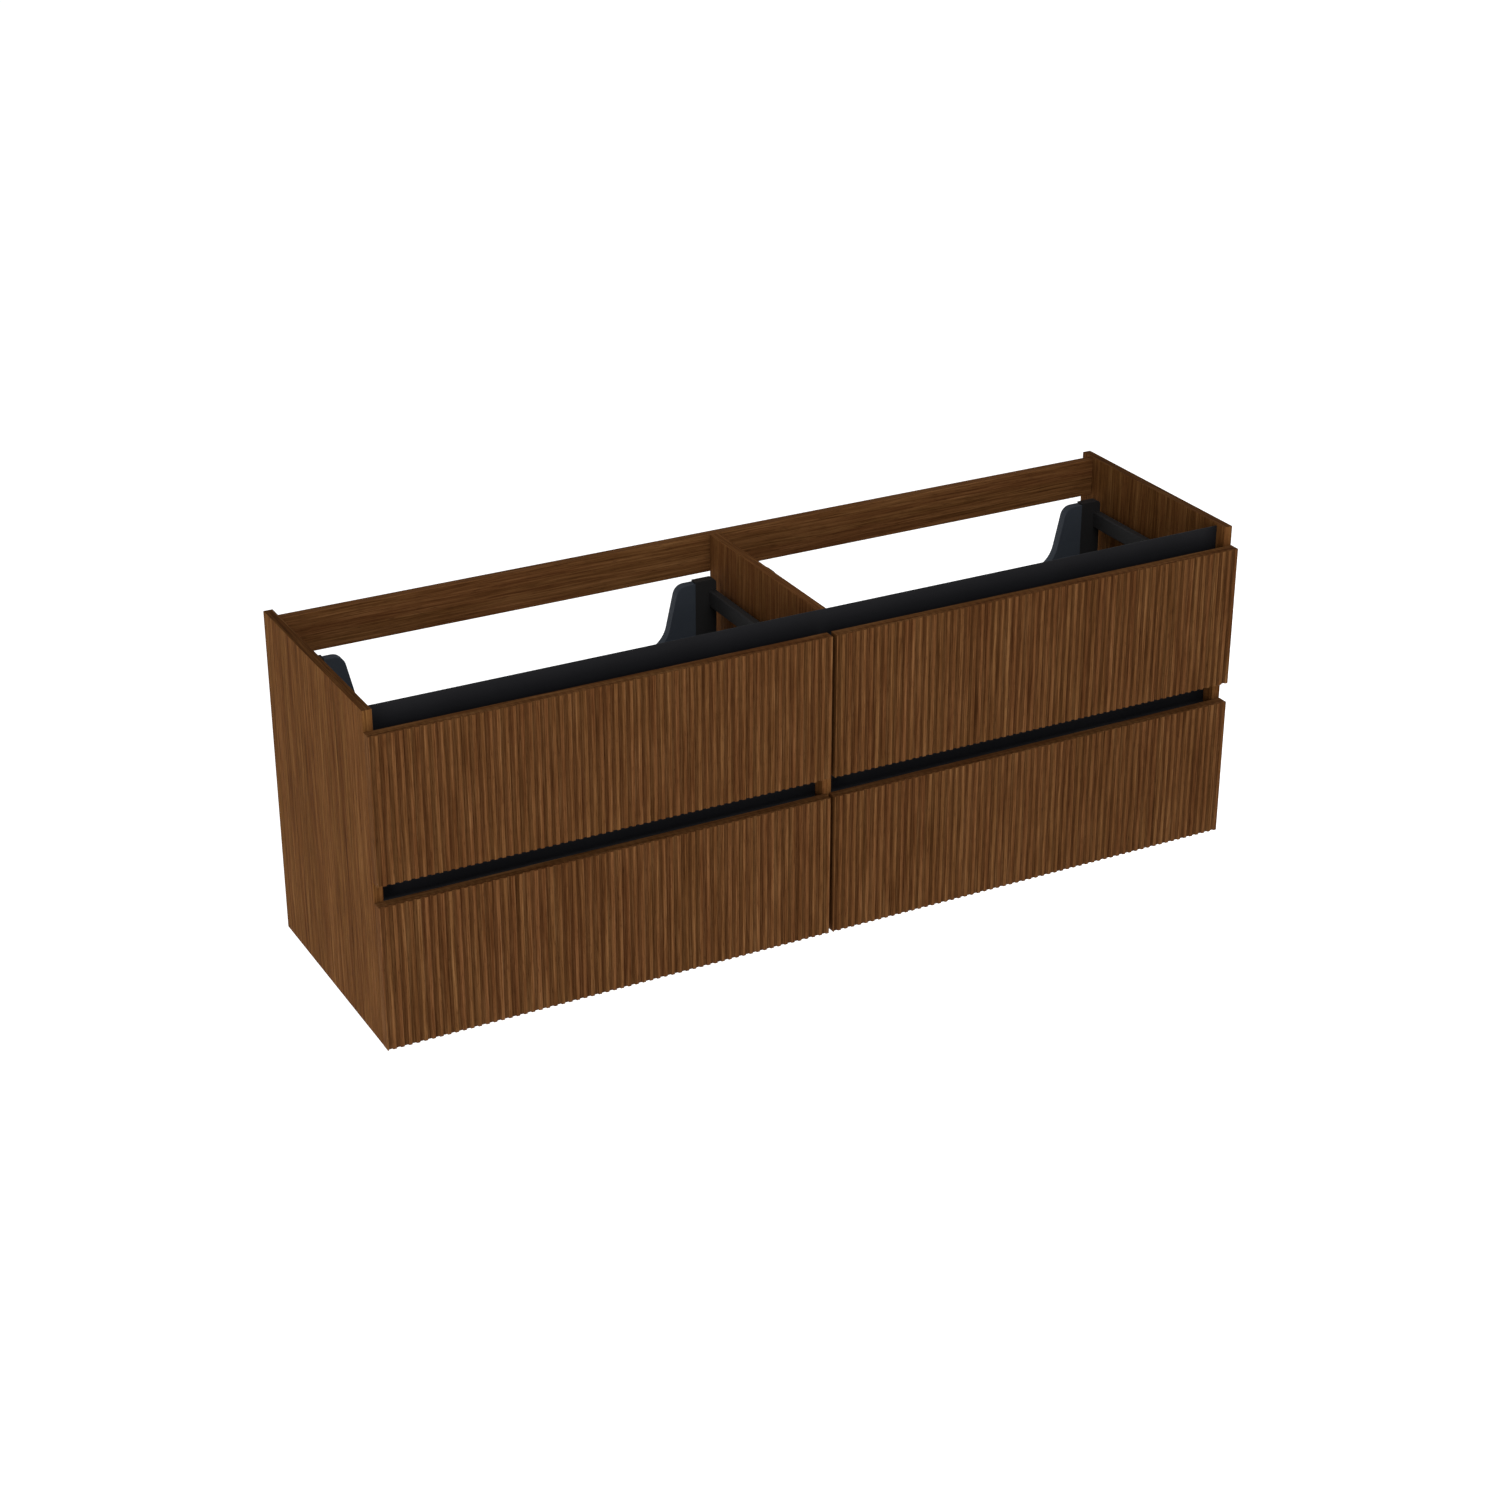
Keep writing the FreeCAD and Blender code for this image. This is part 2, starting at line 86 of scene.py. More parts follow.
# ---------------------------------------------------------------- studio
FLOOR_DROP = 1.00           # cabinet bottom down to the floor
FLOOR_HALF = 14.0           # middle of the floor to its edges
FLOOR_COLOUR = (0.93, 0.93, 0.93, 1.0)
FLOOR_ROUGHNESS = 0.9
FLOOR_SPECULAR = 0.1
FLOOR_GLOW = 0.52
WORLD_LIGHT = 0.57          # what the world gives the cabinet
BACKDROP_LIGHT = 1.0        # what the camera sees of it
LIGHT_TARGET = (0.0, -0.2, -0.1)
LIGHTS = (
    # name, place, width and height, watts
    ("key", (-4.4, -3.4, 0.3), (2.0, 2.0), 95),
    ("high", (-0.4, -4.6, 3.8), (3.2, 1.8), 75),
    ("fill", (3.4, -3.4, 1.6), (2.6, 2.6), 10),
    ("right", (4.4, 1.0, 0.9), (2.6, 2.6), 70),
)


def area_light(name, place, size, power):
    data = bpy.data.lights.new(name, "AREA")
    data.shape = "RECTANGLE"
    data.size, data.size_y = size
    data.energy = power
    light = bpy.data.objects.new(name, data)
    light.location = place
    aim = Vector(LIGHT_TARGET) - Vector(place)
    light.rotation_euler = aim.to_track_quat("-Z", "Y").to_euler()
    bpy.context.scene.collection.objects.link(light)


def make_world():
    """Soft white light from all round, behind a backdrop that the camera sees as plain white."""
    world = bpy.data.worlds.new("studio")
    bpy.context.scene.world = world
    world.use_nodes = True
    nodes, links = world.node_tree.nodes, world.node_tree.links
    light = nodes["Background"]
    backdrop = nodes.new("ShaderNodeBackground")
    for background, strength in ((light, WORLD_LIGHT), (backdrop, BACKDROP_LIGHT)):
        background.inputs["Color"].default_value = WHITE
        background.inputs["Strength"].default_value = strength
    choose = nodes.new("ShaderNodeMixShader")
    links.new(nodes.new("ShaderNodeLightPath").outputs["Is Camera Ray"], choose.inputs["Fac"])
    links.new(light.outputs["Background"], choose.inputs[1])
    links.new(backdrop.outputs["Background"], choose.inputs[2])
    links.new(choose.outputs["Shader"], nodes["World Output"].inputs["Surface"])


def floor_material():
    """White, and slightly lit from within. From below it is clear, so the underside can be seen."""
    material = bpy.data.materials.new("studio_floor")
    material.use_nodes = True
    nodes, links = material.node_tree.nodes, material.node_tree.links
    shader = nodes["Principled BSDF"]
    shader.inputs["Base Color"].default_value = FLOOR_COLOUR
    shader.inputs["Roughness"].default_value = FLOOR_ROUGHNESS
    shader.inputs["Specular IOR Level"].default_value = FLOOR_SPECULAR
    shader.inputs["Emission Color"].default_value = WHITE
    shader.inputs["Emission Strength"].default_value = FLOOR_GLOW
    choose = nodes.new("ShaderNodeMixShader")
    links.new(nodes.new("ShaderNodeNewGeometry").outputs["Backfacing"], choose.inputs["Fac"])
    links.new(shader.outputs["BSDF"], choose.inputs[1])
    links.new(nodes.new("ShaderNodeBsdfTransparent").outputs["BSDF"], choose.inputs[2])
    links.new(choose.outputs["Shader"], nodes["Material Output"].inputs["Surface"])
    return material


def make_floor():
    floor_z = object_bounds()[0].z - FLOOR_DROP
    mesh = bpy.data.meshes.new("studio_floor")
    corners = rectangle(-FLOOR_HALF, FLOOR_HALF, -FLOOR_HALF, FLOOR_HALF)
    mesh.from_pydata([(x, y, floor_z) for x, y in corners], [], [(0, 1, 2, 3)])
    floor = bpy.data.objects.new("studio_floor", mesh)
    bpy.context.scene.collection.objects.link(floor)
    mesh.materials.append(floor_material())


def make_studio():
    make_world()
    for light in LIGHTS:
        area_light(*light)
    make_floor()
    bpy.context.scene.view_settings.view_transform = "Standard"
    bpy.context.scene.view_settings.look = "None"


# ---------------------------------------------------------------- material nodes
class Tree:
    """Short names for the nodes that the materials use."""

    def __init__(self, name):
        self.material = bpy.data.materials.new(name)
        self.material.use_nodes = True
        self.nodes = self.material.node_tree.nodes
        self.links = self.material.node_tree.links
        self.shader = self.nodes["Principled BSDF"]

    def put(self, value, socket):
        """Links a socket, or sets a number, a colour of three parts, or a vector."""
        if isinstance(value, bpy.types.NodeSocket):
            self.links.new(value, socket)
        elif isinstance(value, (int, float)):
            socket.default_value = value
        elif len(value) == 3 and socket.type == "RGBA":
            socket.default_value = (*value, 1.0)
        else:
            socket.default_value = value

    def attribute(self, name, output):
        node = self.nodes.new("ShaderNodeAttribute")
        node.attribute_name = name
        return node.outputs[output]

    def places(self):
        return self.nodes.new("ShaderNodeTexCoord").outputs["Object"]

    def stretched(self, at, factors):
        node = self.nodes.new("ShaderNodeVectorMath")
        node.operation = "MULTIPLY"
        self.put(at, node.inputs[0])
        self.put(factors, node.inputs[1])
        return node.outputs[0]

    def math(self, operation, a, b):
        node = self.nodes.new("ShaderNodeMath")
        node.operation = operation
        self.put(a, node.inputs[0])
        self.put(b, node.inputs[1])
        return node.outputs[0]

    def join(self, x, y, z):
        node = self.nodes.new("ShaderNodeCombineXYZ")
        for value, socket in zip((x, y, z), node.inputs):
            self.put(value, socket)
        return node.outputs[0]

    def split(self, value):
        node = self.nodes.new("ShaderNodeSeparateXYZ")
        self.put(value, node.inputs[0])
        return node.outputs

    def noise(self, at, scale, detail=2.0, roughness=0.5):
        node = self.nodes.new("ShaderNodeTexNoise")
        self.put(at, node.inputs["Vector"])
        node.inputs["Scale"].default_value = scale
        node.inputs["Detail"].default_value = detail
        node.inputs["Roughness"].default_value = roughness
        return node.outputs["Fac"]

    def cells(self, at, scale):
        node = self.nodes.new("ShaderNodeTexVoronoi")
        self.put(at, node.inputs["Vector"])
        node.inputs["Scale"].default_value = scale
        return node.outputs["Distance"]

    def fit(self, value, low, high, to_low=0.0, to_high=1.0):
        """Maps low..high to to_low..to_high, and holds what lies outside at the ends."""
        node = self.nodes.new("ShaderNodeMapRange")
        self.put(value, node.inputs["Value"])
        for socket, number in zip(("From Min", "From Max", "To Min", "To Max"),
                                  (low, high, to_low, to_high)):
            node.inputs[socket].default_value = number
        return node.outputs["Result"]

    def ramp(self, value, stops):
        node = self.nodes.new("ShaderNodeValToRGB")
        self.put(value, node.inputs["Fac"])
        elements = node.color_ramp.elements
        while len(elements) < len(stops):
            elements.new(1.0)
        for element, (position, colour) in zip(elements, stops):
            element.position = position
            element.color = (*colour, 1.0)
        return node.outputs["Color"]

    def mix(self, factor, a, b):
        node = self.nodes.new("ShaderNodeMix")
        node.data_type = "RGBA"
        self.put(factor, node.inputs["Factor"])
        self.put(a, node.inputs["A"])
        self.put(b, node.inputs["B"])
        return next(output for output in node.outputs if output.type == "RGBA")

    def bump(self, height, distance, strength):
        node = self.nodes.new("ShaderNodeBump")
        self.put(height, node.inputs["Height"])
        node.inputs["Distance"].default_value = distance
        node.inputs["Strength"].default_value = strength
        return node.outputs["Normal"]

    def finish(self, **values):
        """Sets the shader's sockets, whose names are written with _ for a space."""
        for name, value in values.items():
            self.put(value, self.shader.inputs[name.replace("_", " ")])
        return self.material


# ---------------------------------------------------------------- walnut
BOARD_STEP = 3.7            # moves the pattern from one board to the next
SWAY = 8.4 * MM             # how far the grain's slow bends reach sideways
RIPPLE = 6.0 * MM           # how far its quick bends do
# of each pattern: waves across and along per metre, detail, roughness
SWAY_PATTERN = (5.0, 1.6, 2.0, 0.55)
RIPPLE_PATTERN = (30.0, 10.0, 3.0, 0.55)
HUE_PATTERN = (60.0, 4.0, 3.0, 0.55)
PORE_PATTERN = (1300.0, 75.0, 2.0, 0.60)
VENEER_LAYERS = (
    # the same four, and the share of the tone
    (24.0, 1.6, 2.0, 0.55, 0.13),
    (170.0, 5.5, 3.0, 0.60, 0.24),
    (430.0, 13.0, 2.0, 0.55, 0.38),
    (1100.0, 28.0, 1.0, 0.55, 0.25),
)
STREAKS, FIBRES = 2, 3      # the layers that also shape the surface and its gloss
GOLDEN = (
    # tone, colour
    (0.00, (0.048, 0.0180, 0.0050)),
    (0.30, (0.098, 0.0410, 0.0128)),
    (0.52, (0.138, 0.0605, 0.0205)),
    (0.76, (0.188, 0.0890, 0.0325)),
    (1.00, (0.255, 0.1310, 0.0520)),
)
REDDISH = (
    (0.00, (0.040, 0.0134, 0.0042)),
    (0.30, (0.085, 0.0310, 0.0104)),
    (0.52, (0.120, 0.0475, 0.0165)),
    (0.76, (0.165, 0.0700, 0.0260)),
    (1.00, (0.220, 0.1020, 0.0410)),
)
PORE_COLOUR = (0.030, 0.0098, 0.0032)
PORE_STRENGTH = 0.62


def walnut(name, tint, stretch, spread=0.165):
    """Veneer, whose mesh carries two attributes.

    grain holds across, along and board number, the first two in metres, and shade holds how much
    painted shade darkens the veneer there. tint multiplies the colours, a larger stretch makes the
    streaks longer, and a smaller spread makes them stand out more.
    """
    t = Tree(name)
    across, along, number = t.split(t.attribute("grain", "Vector"))
    offset = t.math("MULTIPLY", number, BOARD_STEP)

    def pattern(source, across_scale, along_scale, detail, roughness):
        at = t.join(t.math("MULTIPLY", source, across_scale),
                    t.math("MULTIPLY", along, along_scale / stretch), offset)
        return t.noise(at, 1.0, detail, roughness)

    def bend(source, noise, reach):
        return t.math("ADD", source, t.math("MULTIPLY", t.math("SUBTRACT", noise, 0.5), reach))

    def tinted(stops):
        return [(at, tuple(a * b for a, b in zip(tint, colour))) for at, colour in stops]

    sway = pattern(across, *SWAY_PATTERN)
    ripple = pattern(across, *RIPPLE_PATTERN)
    bent = bend(bend(across, sway, SWAY), ripple, RIPPLE)
    layers = [pattern(bent, *layer[:-1]) for layer in VENEER_LAYERS]
    tone = 0.0
    for layer, (*_, share) in zip(layers, VENEER_LAYERS):
        tone = t.math("ADD", t.math("MULTIPLY", layer, share), tone)
    tone = t.fit(tone, 0.5 - spread, 0.5 + spread)
    hue = pattern(bent, *HUE_PATTERN)
    colour = t.mix(t.fit(hue, 0.38, 0.62, 0.1, 0.9),
                   t.ramp(tone, tinted(GOLDEN)), t.ramp(tone, tinted(REDDISH)))
    pore = t.fit(pattern(bent, *PORE_PATTERN), 0.585, 0.68)
    colour = t.mix(t.math("MULTIPLY", pore, PORE_STRENGTH), colour, PORE_COLOUR)
    # painted shade: the shade attribute darkens the veneer towards black, in the rib valleys and on
    # the boards' top edges
    colour = t.mix(t.attribute("shade", "Fac"), colour, BLACK)
    height = t.math("SUBTRACT", t.math("MULTIPLY", layers[STREAKS], 0.5), pore)
    return t.finish(
        Base_Color=colour,
        Roughness=t.fit(layers[FIBRES], 0.3, 0.7, 0.58, 0.72),
        Specular_IOR_Level=0.005,
        Normal=t.bump(height, 0.14 * MM, 0.7),
    )


# ---------------------------------------------------------------- metal and board
def black_aluminium():
    """Black anodised profile with faint drawing lines along X."""
    t = Tree("black_aluminium")
    place = t.places()
    lines = t.noise(t.stretched(place, (2.0, 900.0, 900.0)), 1.0)
    cloud = t.noise(place, 6.0, detail=3.0)
    colour = t.mix(t.fit(cloud, 0.35, 0.65), (0.0078, 0.0079, 0.0094), (0.0098, 0.0099, 0.0117))
    return t.finish(
        Base_Color=colour,
        Roughness=t.fit(lines, 0.3, 0.7, 0.48, 0.60),
        Specular_IOR_Level=0.12,
        Normal=t.bump(lines, 0.02 * MM, 0.5),
    )


def anthracite_steel():
    """Fine orange-peel powder coat on sheet steel."""
    t = Tree("anthracite_steel")
    place = t.places()
    peel = t.noise(place, 1400.0)
    cloud = t.noise(place, 7.0, detail=3.0)
    colour = t.mix(t.fit(cloud, 0.35, 0.65), (0.0185, 0.0181, 0.0183), (0.0225, 0.0220, 0.0222))
    return t.finish(
        Base_Color=colour,
        Roughness=t.fit(peel, 0.3, 0.7, 0.47, 0.59),
        Specular_IOR_Level=0.16,
        Normal=t.bump(peel, 0.06 * MM, 0.6),
    )


def anthracite_board():
    """Matt anthracite board with a faint pressed pearl."""
    t = Tree("anthracite_board")
    place = t.places()
    pearl = t.cells(place, 900.0)
    cloud = t.noise(place, 9.0, detail=3.0)
    colour = t.mix(t.fit(cloud, 0.35, 0.65), (0.0400, 0.0480, 0.0610), (0.0470, 0.0560, 0.0690))
    return t.finish(
        Base_Color=colour,
        Roughness=t.fit(pearl, 0.0, 0.8, 0.55, 0.68),
        Specular_IOR_Level=0.10,
        Normal=t.bump(pearl, 0.05 * MM, 0.5),
    )


def zinc(name, line_scales, dark, bright):
    """Bright zinc steel. line_scales, along X, Y and Z, set which way its fine lines run."""
    t = Tree(name)
    place = t.places()
    lines = t.noise(t.stretched(place, line_scales), 1.0, detail=3.0)
    spangle = t.noise(place, 60.0, detail=4.0, roughness=0.6)
    return t.finish(
        Base_Color=t.mix(t.fit(spangle, 0.3, 0.7), dark, bright),
        Metallic=1.0,
        Roughness=t.fit(lines, 0.3, 0.7, 0.26, 0.42),
        Normal=t.bump(lines, 0.02 * MM, 0.4),
    )


def make_materials():
    """The scene's materials. Those of CAD nodes go by the names of the record's slots."""
    spangled = ((0.42, 0.43, 0.45), (0.60, 0.61, 0.62))
    even = ((0.46, 0.47, 0.49), (0.54, 0.55, 0.57))
    return {
        "walnut_veneer": walnut("walnut_veneer", (0.85, 0.82, 0.70), 1.6, 0.145),
        "walnut_front": walnut("walnut_front", (0.865, 0.86, 0.86), 1.5),
        # painted light: the rails' veneer is tinted brighter than the other walnut, standing in for
        # more light on the rails
        "walnut_rail_painted_bright": walnut("walnut_rail_painted_bright", (1.19, 1.18, 1.15), 1.9),
        "walnut_centre": walnut("walnut_centre", (1.00, 0.95, 0.85), 1.6),
        "black_aluminium": black_aluminium(),
        "anthracite_steel": anthracite_steel(),
        "anthracite_board": anthracite_board(),
        "slide_steel": zinc("slide_steel", (900.0, 6.0, 900.0), *even),
        "zinc_steel": zinc("zinc_steel", (220.0, 220.0, 220.0), *spangled),
        "zinc_screw": zinc("zinc_screw", (500.0, 500.0, 500.0), *spangled),
    }


# ---------------------------------------------------------------- mesh helpers
SHARP = math.radians(50)    # edges that turn further than this stay sharp, or are rounded
BOARD_EDGE = 0.5 * MM
EDGE_SEGMENTS = 2
FACE_STEP = 0.31            # moves the grain pattern between faces that look different ways
DEPTH_STEP = 0.6            # and between parallel faces, for each metre between them


def new_object(name, bm, material):
    mesh = bpy.data.meshes.new(name)
    bmesh.ops.recalc_face_normals(bm, faces=bm.faces)
    bm.to_mesh(mesh)
    bm.free()
    mesh.materials.append(material)
    obj = bpy.data.objects.new(name, mesh)
    bpy.context.scene.collection.objects.link(obj)
    mesh.shade_smooth()
    mesh.set_sharp_from_angle(angle=SHARP)
    weighted = obj.modifiers.new("normals", "WEIGHTED_NORMAL")
    weighted.keep_sharp = True
    weighted.weight = 100
    return obj


def rectangle(p0, p1, q0, q1):
    return [(p0, q0), (p1, q0), (p1, q1), (p0, q1)]


def prism(outline, x0, x1):
    """Bmesh of an outline of (y, z) points, swept along X."""
    bm = bmesh.new()
    ends = [[bm.verts.new((x, y, z)) for y, z in outline] for x in (x0, x1)]
    for ring in ends:
        bm.faces.new(ring)
    for i, j in zip(range(len(outline)), [*range(1, len(outline)), 0]):
        bm.faces.new((ends[0][i], ends[0][j], ends[1][j], ends[1][i]))
    bmesh.ops.recalc_face_normals(bm, faces=bm.faces)
    return bm


def soften(bm):
    sharp = [e for e in bm.edges if len(e.link_faces) == 2 and e.calc_face_angle(0) > SHARP]
    bmesh.ops.bevel(bm, geom=sharp, offset=BOARD_EDGE, segments=EDGE_SEGMENTS, profile=0.5,
                    affect="EDGES", clamp_overlap=True)


def lay_grain(mesh, grain_axis, end_axis, number):
    """Writes across, along and board number for each face corner.

    The grain runs along grain_axis, and along end_axis on the faces that grain_axis meets end on.
    """
    layer = mesh.attributes.new("grain", "FLOAT_VECTOR", "CORNER")
    for polygon in mesh.polygons:
        normal = [abs(n) for n in polygon.normal]
        facing = normal.index(max(normal))
        along = grain_axis if facing != grain_axis else end_axis
        across = X + Y + Z - facing - along
        for loop in polygon.loop_indices:
            point = mesh.vertices[mesh.loops[loop].vertex_index].co
            shift = FACE_STEP * facing + DEPTH_STEP * point[facing]
            layer.data[loop].vector = (point[across] + shift, point[along], number)


def lay_painted_shade(mesh, painted_shade_at):
    """Writes how much painted shade darkens the veneer at each vertex, from 0 to 1."""
    layer = mesh.attributes.new("shade", "FLOAT", "POINT")
    for vertex in mesh.vertices:
        layer.data[vertex.index].value = painted_shade_at(vertex.co)


# ---------------------------------------------------------------- walnut boards
TOP_PAINTED_SHADE = 0.33            # painted shade: the boards' top edges are drawn this much darker than their faces, standing in for weaker light from above
NOTCH_ROOM = 0.5 * MM       # centre panel's notch to the top grip profile
FLAT = 0.01 * MM
BOARDS = (
    # node, grain axis, axis of the grain on its ends, board number, wood, painted shade on the top
    # edge
    ("side_panel_left", Z, Y, 1, "walnut_veneer", TOP_PAINTED_SHADE),
    ("side_panel_right", Z, Y, 2, "walnut_veneer", TOP_PAINTED_SHADE),
    ("rear_top_rail", X, Z, 4, "walnut_rail_painted_bright", TOP_PAINTED_SHADE),
    ("rear_lower_rail", X, Z, 5, "walnut_rail_painted_bright", TOP_PAINTED_SHADE),
    ("bottom_panel", X, Y, 7, "walnut_veneer", 0.0),
    ("centre_panel", Z, Y, 9, "walnut_centre", TOP_PAINTED_SHADE / 2),
)


def board_outline(node, low, high):
    """A board's (y, z) outline. The centre panel's has the notch for the top grip profile."""
    if node != "centre_panel":
        return rectangle(low.y, high.y, low.z, high.z)
    profile_low, profile_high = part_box("top_grip_profile")
    notch_y = profile_high.y + NOTCH_ROOM
    notch_z = profile_low.z - NOTCH_ROOM
    return [(low.y, low.z), (high.y, low.z), (high.y, high.z), (notch_y, high.z),
            (notch_y, notch_z), (low.y, notch_z)]


def veneered_board(node, grain_axis, end_axis, number, material, top_painted_shade):
    """A board with softened edges, in the place of its CAD node."""
    low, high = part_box(node)
    bm = prism(board_outline(node, low, high), low.x, high.x)
    soften(bm)
    board = new_object(f"veneered_{node}", bm, material)
    lay_grain(board.data, grain_axis, end_axis, number)
    top = max(vertex.co.z for vertex in board.data.vertices)
    # painted shade on the board's top edge
    lay_painted_shade(board.data, lambda place: top_painted_shade if top - place.z < FLAT else 0.0)
    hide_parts(node)
    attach(board, "carcass")


def make_boards(materials):
    for node, grain_axis, end_axis, number, wood, top_painted_shade in BOARDS:
        veneered_board(node, grain_axis, end_axis, number, materials[wood], top_painted_shade)


# ---------------------------------------------------------------- ribbed fronts
RIB_HEIGHT = 3.0 * MM
RIB_PITCH = 13.25 * MM      # fitted to a whole number of ribs
RIB_LAND = 5.4 * MM         # flat crest of one rib
RIB_FLANK = 1.1 * MM        # width of one sloping side of a rib
FIRST_RIB = 12.4 * MM       # left edge of a front to its first whole rib
LAST_RIB = 2.6 * MM         # right edge of a front to its last rib
CREST_ROUND = 0.8 * MM
VALLEY_ROUND = 0.6 * MM
EDGE_ROUND = 0.45 * MM
RIB_ARC_STEPS = 4
EDGE_ARC_STEPS = 3
ARC_REACH = 0.45            # most of a run that the arc at one of its ends may take
RIB_FOOT_PAINTED_SHADE = 0.29       # painted shade: how much darker the veneer is drawn at the foot of the ribs, where the valleys lie in shade
FIRST_FRONT_NUMBER = 20
FACES_AXIS = 0.9            # a normal's part along an axis, on a face that looks that way
SAME_X_DIGITS = 7
# where the grain pattern starts across, and what is added to the board number
END_GRAIN = (0.4, 0.5)
BACK_GRAIN = (0.7, 0.3)


def rounded_path(points, radii):
    """Replaces each corner of an open path with a tangent arc of its radius."""
    path = [points[0]]
    for before, corner, after, radius in zip(points, points[1:], points[2:], radii):
        b, c, a = Vector(before), Vector(corner), Vector(after)
        back, ahead = (b - c).normalized(), (a - c).normalized()
        half = back.angle(ahead) / 2
        reach = min(radius / math.tan(half), ARC_REACH * (b - c).length,
                    ARC_REACH * (a - c).length)
        radius = reach * math.tan(half)
        centre = c + (back + ahead).normalized() * (radius / math.sin(half))
        start, end = c + back * reach - centre, c + ahead * reach - centre
        turn = start.angle_signed(end)
        for step in range(RIB_ARC_STEPS + 1):
            angle = -turn * step / RIB_ARC_STEPS
            x = start.x * math.cos(angle) - start.y * math.sin(angle)
            y = start.x * math.sin(angle) + start.y * math.cos(angle)
            path.append((centre.x + x, centre.y + y))
    path.append(points[-1])
    return path


def rib_path(x0, x1, crest, valley):
    """Front outline of one ribbed front, from its left edge to its right edge, as (x, y)."""
    span = x1 - x0 - FIRST_RIB - LAST_RIB
    gaps = round(span / RIB_PITCH)
    pitch = span / gaps
    points = [(x0, crest)]
    radii = []
    for rib in range(-1, gaps + 1):
        centre = x0 + FIRST_RIB + rib * pitch
        if rib >= 0:
            points.append((centre - RIB_LAND / 2 - RIB_FLANK, valley))
            points.append((centre - RIB_LAND / 2, crest))
            radii += [VALLEY_ROUND, CREST_ROUND]
        if rib < gaps:
            points.append((centre + RIB_LAND / 2, crest))
            points.append((centre + RIB_LAND / 2 + RIB_FLANK, valley))
            radii += [CREST_ROUND, VALLEY_ROUND]
    points.append((x1, crest))
    return rounded_path(points, radii)


def edge_arc():
    """Quarter circle of a front's outer edges: distances in from the side and from the crest."""
    angles = [math.pi / 2 * step / EDGE_ARC_STEPS for step in range(EDGE_ARC_STEPS + 1)]
    return [(EDGE_ROUND * (1 - math.cos(a)), EDGE_ROUND * (1 - math.sin(a))) for a in angles]


def front_path(low, high):
    """The rib outline, with its two ends rounded into the upright edges."""
    ribs = rib_path(low.x, high.x, low.y, low.y + RIB_HEIGHT)
    inside = [(x, y) for x, y in ribs if low.x + EDGE_ROUND < x < high.x - EDGE_ROUND]
    arc = edge_arc()
    left = [(low.x + side, low.y + inset) for side, inset in arc]
    right = [(high.x - side, low.y + inset) for side, inset in reversed(arc)]
    return left + inside + right


def front_bmesh(path, low, high):
    """Closed shell of one front: its ribbed face, rounded at top and bottom, and a flat back."""
    arc = edge_arc()
    levels = [(low.z + side, inset) for side, inset in arc]
    levels += [(high.z - side, inset) for side, inset in reversed(arc)]
    bm = bmesh.new()
    rings = [[bm.verts.new((x, y + inset, z)) for x, y in path] for z, inset in levels]
    back = [[bm.verts.new((x, high.y, z)) for x, _ in path] for z in (low.z, high.z)]
    sections = [back[0], *rings, back[1]]
    for below, above in zip(sections, sections[1:]):
        for i in range(len(path) - 1):
            bm.faces.new((below[i], below[i + 1], above[i + 1], above[i]))
    bm.faces.new([*back[0], *reversed(back[1])])
    for i in (0, -1):
        bm.faces.new([section[i] for section in sections])
    return bm


def nearest_length(length_at, x):
    key = round(x, SAME_X_DIGITS)
    if key in length_at:
        return length_at[key]
    return length_at[min(length_at, key=lambda known: abs(known - x))]


def lay_rib_grain(mesh, path, front_y, number):
    """Grain that runs up the front and follows the veneer over each rib."""
    lengths = [0.0]
    for (xa, ya), (xb, yb) in zip(path, path[1:]):
        lengths.append(lengths[-1] + math.hypot(xb - xa, yb - ya))
    length_at = dict(zip([round(x, SAME_X_DIGITS) for x, _ in path], lengths))
    layer = mesh.attributes.new("grain", "FLOAT_VECTOR", "CORNER")
    for polygon in mesh.polygons:
        normal = polygon.normal
        is_side = abs(normal.x) > FACES_AXIS and len(polygon.vertices) > 4
        for loop in polygon.loop_indices:
            point = mesh.vertices[mesh.loops[loop].vertex_index].co
            if abs(normal.z) > FACES_AXIS:
                value = (point.y + END_GRAIN[0], point.x, number + END_GRAIN[1])
            elif is_side:
                edge_length = lengths[0 if normal.x < 0 else -1]
                value = (point.y - front_y + edge_length, point.z, number)
            elif normal.y > FACES_AXIS:
                value = (point.x + BACK_GRAIN[0], point.z, number + BACK_GRAIN[1])
            else:
                value = (nearest_length(length_at, point.x), point.z, number)
            layer.data[loop].vector = value


def ribbed_front(node, body, number, material):
    """A drawer front with rounded ribs, in the place of its CAD node."""
    low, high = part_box(node)
    path = front_path(low, high)
    front = new_object(f"ribbed_{node}", front_bmesh(path, low, high), material)

    # painted shade in the rib valleys, from none on the crests to the most at the foot
    def rib_painted_shade(place):
        if place.y > high.y - MM:
            return 0.0
        return RIB_FOOT_PAINTED_SHADE * min((place.y - low.y) / RIB_HEIGHT, 1.0)

    lay_painted_shade(front.data, rib_painted_shade)
    lay_rib_grain(front.data, path, low.y, number)
    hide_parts(node)
    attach(front, body)


def make_fronts(wood):
    bodies = [f"{row}_{bay}_drawer" for row in ("upper", "lower") for bay in ("left", "right")]
    for number, body in enumerate(bodies, start=FIRST_FRONT_NUMBER):
        ribbed_front(f"{body}_front", body, number, wood)


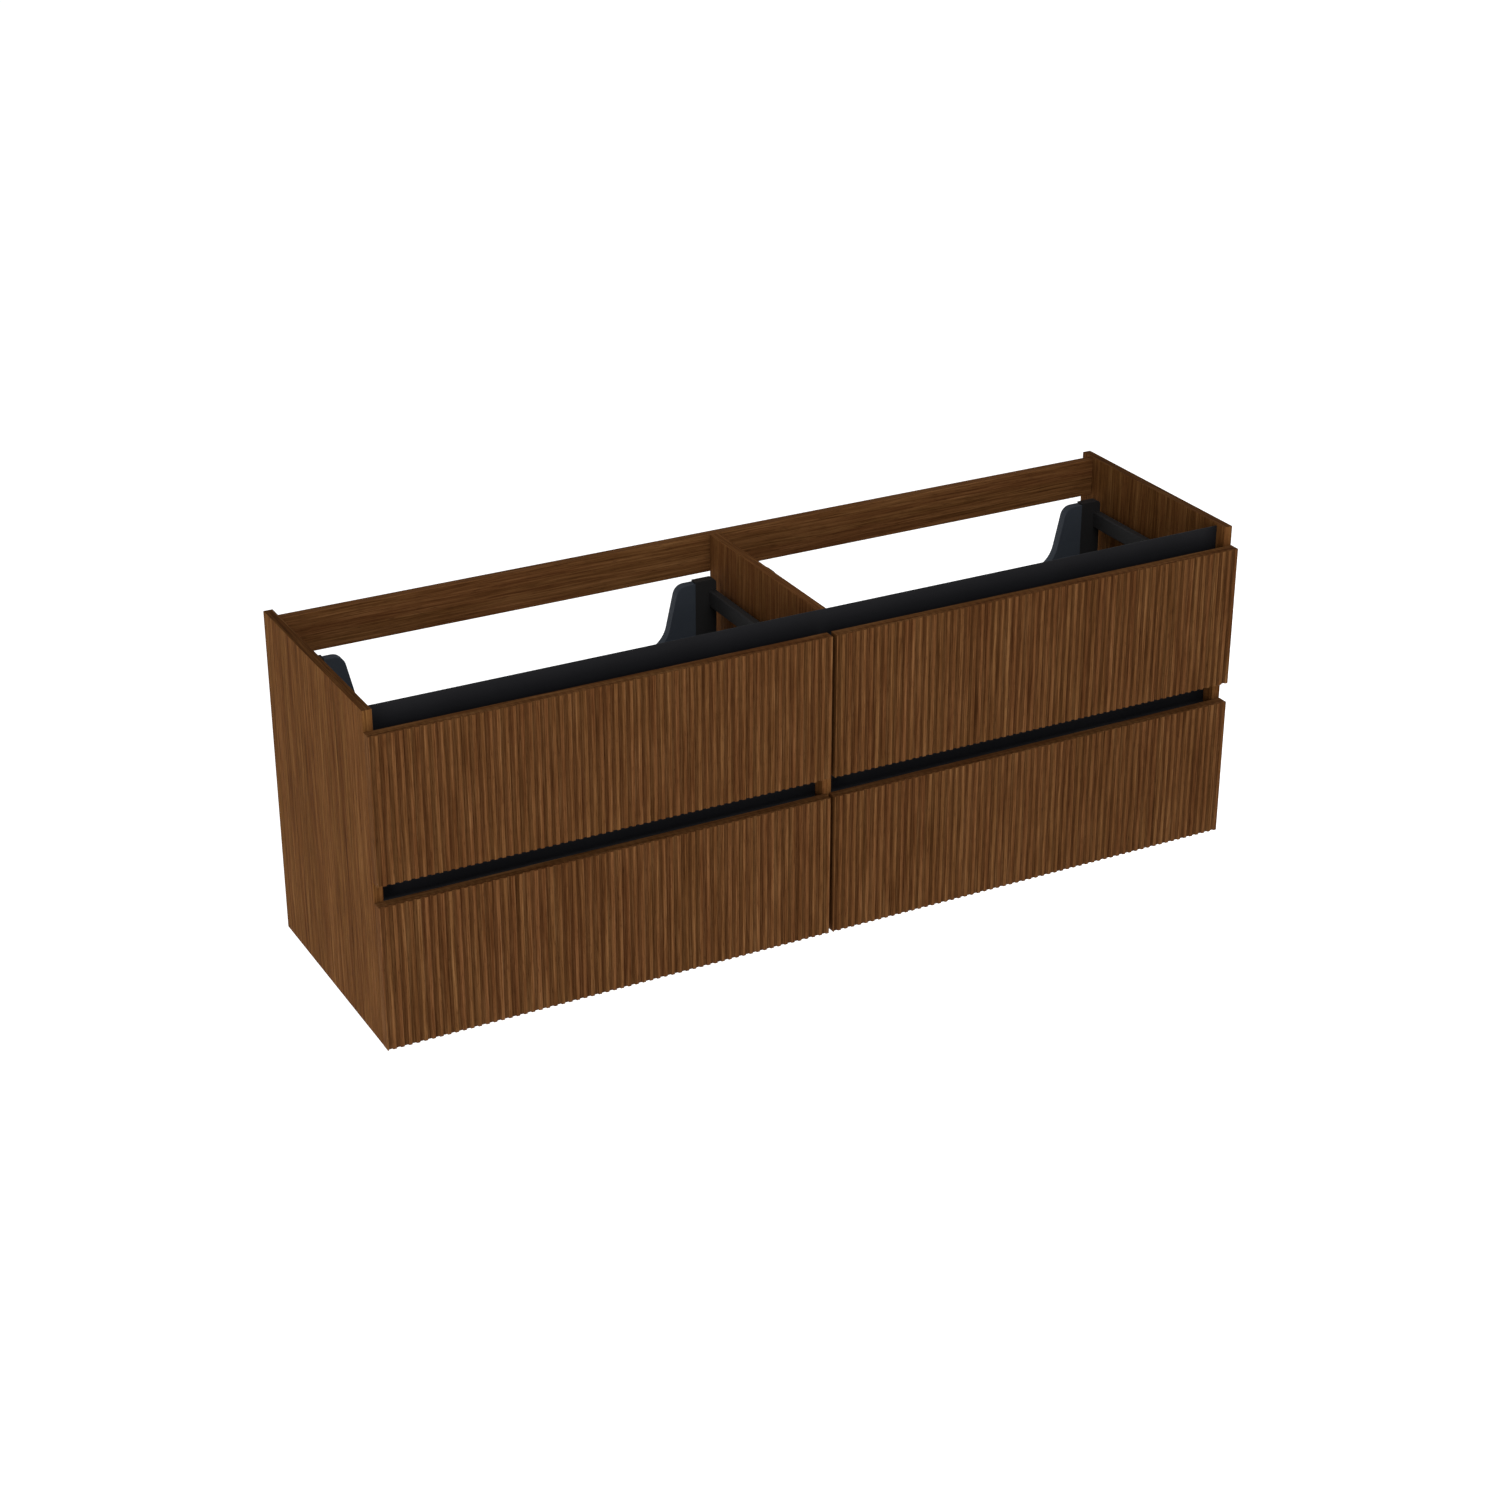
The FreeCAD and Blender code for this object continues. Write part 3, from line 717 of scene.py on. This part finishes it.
# ---------------------------------------------------------------- CAD nodes that stay
WELD_REACH = 0.002 * MM
SAME_PLANE = math.radians(1.0)
BEVEL_ANGLE = math.radians(40)


def dress(node, materials, slot, edge=0.0):
    """Gives a CAD node the material of its slot and, where edge is set, rounded edges that wide."""
    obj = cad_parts[node]
    obj.data.materials.clear()
    obj.data.materials.append(materials[slot])
    weld = obj.modifiers.new("weld", "WELD")
    weld.merge_threshold = WELD_REACH
    planes = obj.modifiers.new("planes", "DECIMATE")
    planes.decimate_type = "DISSOLVE"
    planes.angle_limit = SAME_PLANE
    if edge:
        bevel = obj.modifiers.new("edges", "BEVEL")
        bevel.width = edge
        bevel.segments = EDGE_SEGMENTS
        bevel.limit_method = "ANGLE"
        bevel.angle_limit = BEVEL_ANGLE
        bevel.use_clamp_overlap = True
    weighted = obj.modifiers.new("normals", "WEIGHTED_NORMAL")
    weighted.keep_sharp = True


def dress_cad(materials):
    for node in ("top_grip_profile", "middle_grip_profile_left", "middle_grip_profile_right"):
        dress(node, materials, "black_aluminium", 0.3 * MM)
    for side in ("left", "right"):
        dress(f"hanging_bracket_{side}", materials, "zinc_steel", 0.4 * MM)
    dress("hanging_bracket_screws", materials, "zinc_screw")
    for row in ("upper", "lower"):
        for bay in ("left", "right"):
            start = f"{row}_{bay}_"
            dress(start + "carcass_slides", materials, "slide_steel", 0.2 * MM)
            dress(start + "middle_slides", materials, "slide_steel", 0.2 * MM)
            dress(start + "drawer_base", materials, "anthracite_board", 0.4 * MM)
            dress(start + "drawer_back", materials, "anthracite_board", 0.4 * MM)
            dress(start + "drawer_front_brackets", materials, "anthracite_steel", 0.3 * MM)
            for side in ("left", "right"):
                box = start + "drawer_"
                dress(f"{box}side_{side}", materials, "anthracite_steel", 0.25 * MM)
                dress(f"{box}gallery_rail_{side}", materials, "anthracite_steel")
                dress(f"{box}rear_bracket_{side}", materials, "anthracite_steel", 0.3 * MM)


# ---------------------------------------------------------------- the scene
make_camera()
materials = make_materials()
make_boards(materials)
make_fronts(materials["walnut_front"])
dress_cad(materials)
make_studio()
